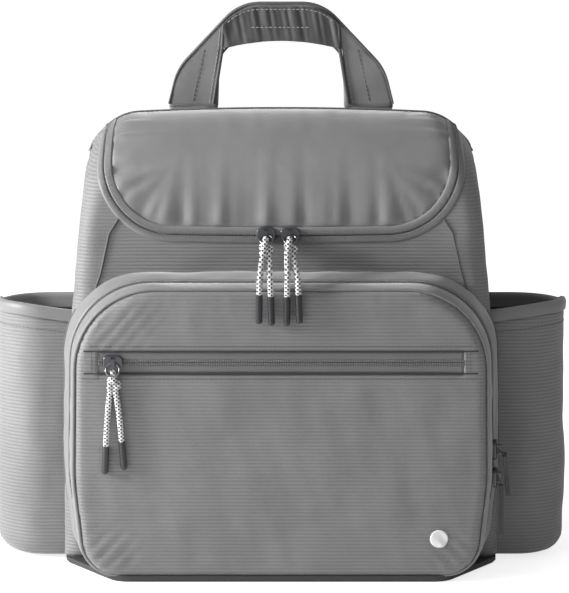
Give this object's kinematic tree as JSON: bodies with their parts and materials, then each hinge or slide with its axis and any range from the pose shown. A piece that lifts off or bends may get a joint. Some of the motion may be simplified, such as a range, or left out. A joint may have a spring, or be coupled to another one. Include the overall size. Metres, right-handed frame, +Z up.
{
  "type": "diaper bag backpack",
  "caption": "Grey backpack for baby care gear: zipped domed lid, fold-down front compartment with a zipped pocket, side pockets, carry handle and shoulder straps.",
  "frame": {"origin": "on the floor under the middle of the bag, on the underside of the base", "axes": "+Z up; the front of the bag faces -Y; +X is to the right of someone looking at the front"},
  "size_m": [0.4494, 0.2483, 0.431],
  "materials": {
    "ribbed_fabric": "ribbed nylon, padded",
    "smooth_fabric": "smooth nylon with a slight sheen",
    "trim_fabric": "woven tape",
    "zip_tape": "zip tape",
    "zip_coil": "moulded coil",
    "lining": "plain woven lining",
    "base_coating": "coated fabric",
    "board": "plastic sheet",
    "mesh_pad": "padded mesh",
    "webbing": "woven webbing",
    "moulded_plastic": "moulded plastic",
    "slider_metal": "dark plated metal",
    "wire": "bright wire",
    "cord": "braided cord, light with a dark fleck",
    "cord_tip": "moulded tip",
    "dot_print": "printed dot"
  },
  "bodies": {
    "bag_body": {"front_wall": "ribbed_fabric", "back_panel": "ribbed_fabric", "top_yoke": "smooth_fabric", "side_panel_left": "ribbed_fabric", "side_panel_right": "ribbed_fabric", "main_lining": "lining", "base_board": "board", "inner_pocket": "lining", "base_panel": "base_coating", "lid_zip_tape_lower": "zip_tape", "lid_zip_coil_lower": "zip_coil", "front_gusset": "ribbed_fabric", "front_lower_gusset": "ribbed_fabric", "front_lower_panel": "ribbed_fabric", "front_lower_piping": "trim_fabric", "front_zip_tape_rear": "zip_tape", "front_zip_coil_rear": "zip_coil", "dot": "dot_print", "side_pocket_left": "ribbed_fabric", "side_pocket_right": "ribbed_fabric", "side_pocket_hems": "trim_fabric", "back_pad": "mesh_pad", "strap_yoke": "trim_fabric", "strap_webbing": "webbing", "webbing_tabs": "trim_fabric", "front_slider_lower": "slider_metal"},
    "lid": {"lid_panel": "smooth_fabric", "lid_lining": "lining", "lid_zip_tape_upper": "zip_tape", "lid_zip_coil_upper": "zip_coil"},
    "front_flap": {"front_panel": "ribbed_fabric", "flap_gusset": "ribbed_fabric", "flap_piping": "trim_fabric", "front_zip_tape_front": "zip_tape", "front_zip_coil_front": "zip_coil", "pocket_zip_tape": "zip_tape", "pocket_zip_coil": "zip_coil", "pocket_bag": "lining", "flap_lining": "lining"},
    "pocket_slider": {"pocket_slider": "slider_metal"},
    "pocket_pull": {"pocket_ring": "wire", "pocket_cord": "cord", "pocket_tips": "cord_tip"},
    "lid_slider_left": {"lid_slider_left": "slider_metal"},
    "lid_pull_left": {"lid_ring_left": "wire", "lid_cord_left": "cord", "lid_tips_left": "cord_tip"},
    "lid_slider_right": {"lid_slider_right": "slider_metal"},
    "lid_pull_right": {"lid_ring_right": "wire", "lid_cord_right": "cord", "lid_tips_right": "cord_tip"},
    "front_slider_upper": {"front_slider_upper": "slider_metal"},
    "front_pull_upper": {"front_pull_upper": "webbing"},
    "front_pull_lower": {"front_pull_lower": "webbing"},
    "handle": {"handle_band": "smooth_fabric", "handle_lining": "lining"},
    "strap_left": {"shoulder_strap_left": "mesh_pad", "ladder_lock_left": "moulded_plastic"},
    "strap_right": {"shoulder_strap_right": "mesh_pad", "ladder_lock_right": "moulded_plastic"}
  },
  "joints": [
    {"name": "lid_hinge", "type": "hinge", "parent": "bag_body", "child": "lid", "pos_m": [0, 0.052, 0.348], "axis": [-1, 0, 0], "range_deg": [0, 110]},
    {"name": "front_flap_hinge", "type": "hinge", "parent": "bag_body", "child": "front_flap", "pos_m": [0, -0.112, 0.06], "axis": [1, 0, 0], "range_deg": [0, 110], "deforming": ["lid_cord_left", "lid_tips_left", "lid_cord_right", "lid_tips_right"]},
    {"name": "pocket_slider_slide", "type": "slide", "parent": "front_flap", "child": "pocket_slider", "axis": [1, 0, 0], "range_m": [0, 0.255]},
    {"name": "pocket_pull_swing", "type": "hinge", "parent": "pocket_slider", "child": "pocket_pull", "pos_m": [-0.1277, -0.1158, 0.172], "axis": [-1, 0, 0], "range_deg": [0, 100]},
    {"name": "lid_slider_left_slide", "type": "slide", "parent": "lid", "child": "lid_slider_left", "axis": [-1, 0, 0], "range_m": [0, 0.062]},
    {"name": "lid_pull_left_swing", "type": "hinge", "parent": "lid_slider_left", "child": "lid_pull_left", "pos_m": [-0.0115, -0.0523, 0.261], "axis": [-1, 0, 0], "range_deg": [0, 90]},
    {"name": "lid_slider_right_slide", "type": "slide", "parent": "lid", "child": "lid_slider_right", "axis": [1, 0, 0], "range_m": [0, 0.066]},
    {"name": "lid_pull_right_swing", "type": "hinge", "parent": "lid_slider_right", "child": "lid_pull_right", "pos_m": [0.007, -0.0523, 0.261], "axis": [-1, 0, 0], "range_deg": [0, 90]},
    {"name": "front_slider_slide", "type": "slide", "parent": "bag_body", "child": "front_slider_upper", "axis": [-0.017, 0, 0.9999], "range_m": [0, 0.07]},
    {"name": "front_pull_upper_swing", "type": "hinge", "parent": "front_slider_upper", "child": "front_pull_upper", "pos_m": [0.16766, -0.08085, 0.09807], "axis": [0, -1, 0], "range_deg": [0, 75]},
    {"name": "front_pull_lower_swing", "type": "hinge", "parent": "bag_body", "child": "front_pull_lower", "pos_m": [0.16804, -0.08085, 0.07607], "axis": [0, -1, 0], "range_deg": [0, 75]},
    {"name": "handle_fold", "type": "hinge", "parent": "bag_body", "child": "handle", "pos_m": [0, 0.072, 0.35027], "axis": [-1, 0, 0], "range_deg": [0, 80]},
    {"name": "strap_left_swing", "type": "hinge", "parent": "bag_body", "child": "strap_left", "pos_m": [0, 0.1015, 0.312], "axis": [1, 0, 0], "range_deg": [0, 15]},
    {"name": "strap_right_swing", "type": "hinge", "parent": "bag_body", "child": "strap_right", "pos_m": [0, 0.1015, 0.312], "axis": [1, 0, 0], "range_deg": [0, 15]}
  ]
}
